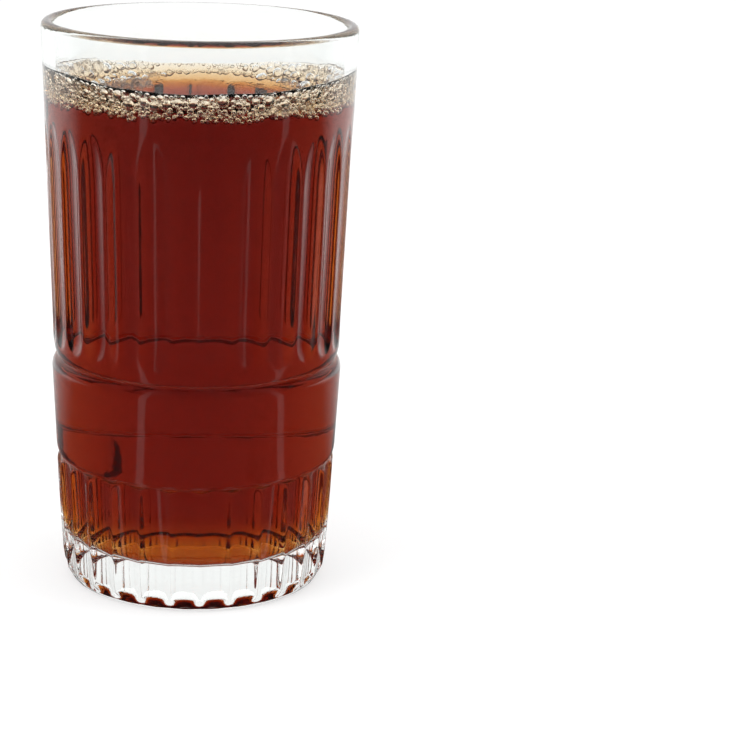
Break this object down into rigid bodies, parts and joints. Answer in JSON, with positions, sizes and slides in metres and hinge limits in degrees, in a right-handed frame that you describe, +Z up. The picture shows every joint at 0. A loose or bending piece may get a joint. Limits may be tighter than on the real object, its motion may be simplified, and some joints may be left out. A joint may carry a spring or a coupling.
{
  "type": "glass of chai",
  "caption": "Small pressed tea glass with a fluted body, plain band and fluted base, holding dark tea under a ring of froth.",
  "frame": {"origin": "middle of the foot, on the table", "axes": "+Z up along the glass's axis, out of the mouth; a ridge between two flutes points at -Y, the side that the picture shows"},
  "size_m": [0.059, 0.059, 0.1075],
  "materials": {
    "clear_glass": "clear pressed glass, fire-polished",
    "black_tea": "clear dark red-brown tea, amber where it is thin",
    "tea_froth": "wet beige bubbles"
  },
  "bodies": {
    "root": {"glass_tumbler": "clear_glass", "tea": "black_tea", "froth": "tea_froth"}
  },
  "joints": []
}
